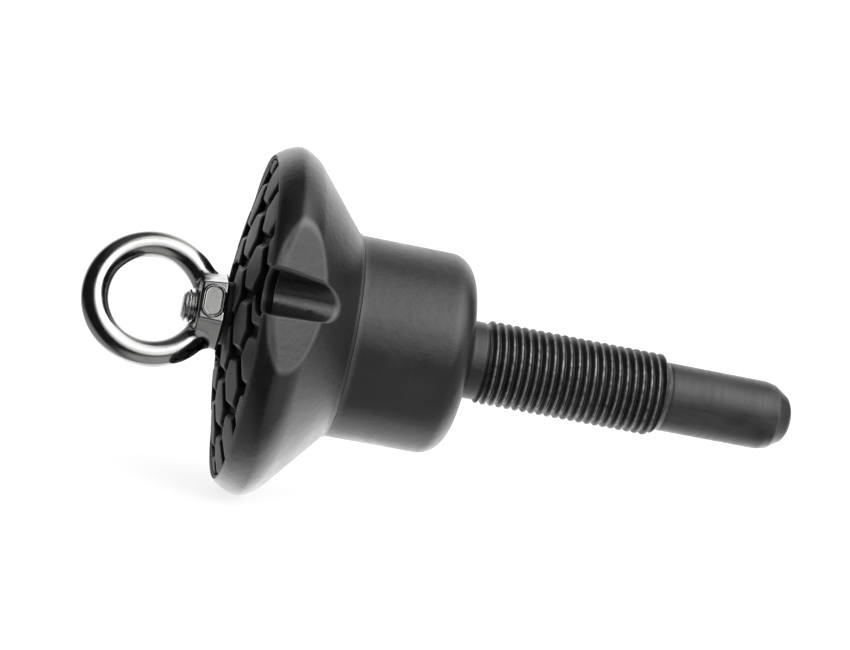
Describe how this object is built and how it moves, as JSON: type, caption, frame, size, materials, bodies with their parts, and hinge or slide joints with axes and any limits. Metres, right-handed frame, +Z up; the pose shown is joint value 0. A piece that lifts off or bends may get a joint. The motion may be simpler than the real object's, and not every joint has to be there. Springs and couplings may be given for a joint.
{
  "type": "screw-in tether anchor",
  "caption": "Screw-in anchor with a lifting eye nut, domed hexagon-tread flange, cone and collar, coarse threaded stud and plain pilot nose.",
  "frame": {"origin": "centre of the collar's flat seat face, on the stud's axis", "axes": "+X along the stud's axis towards the pilot nose, +Z up, the eye at -X"},
  "size_m": [0.1724, 0.0816, 0.0826],
  "materials": {
    "blackened_steel": "black oxide, satin",
    "black_plastic": "satin moulded",
    "black_rubber": "satin moulded",
    "bright_steel": "machined",
    "zinc_steel": "zinc plated",
    "black_steel": "black zinc",
    "polished_stainless": "cast, polished"
  },
  "bodies": {
    "anchor": {"screw_stud": "blackened_steel", "collar": "black_plastic", "drive_pins": "bright_steel", "bumper_body": "black_rubber", "tread_cap": "black_rubber", "load_plate": "zinc_steel", "spacer_tube": "zinc_steel", "jam_nut": "zinc_steel", "core_rod": "bright_steel", "clamp_washer": "black_steel"},
    "washer": {"spring_washer": "black_steel"},
    "eye": {"eye_nut": "polished_stainless"}
  },
  "joints": [
    {"name": "eye_unscrew_slide", "type": "slide", "parent": "anchor", "child": "washer", "axis": [-1, 0, 0], "range_m": [0, 0.008]},
    {"name": "eye_unscrew_turn", "type": "hinge", "parent": "washer", "child": "eye", "pos_m": [0, 0, 0], "axis": [-1, 0, 0], "range_deg": [0, 2304]}
  ],
  "couplings": [
    {"joint": "eye_unscrew_slide", "follows": "eye_unscrew_turn", "m_per_rad": 0.00019894}
  ]
}
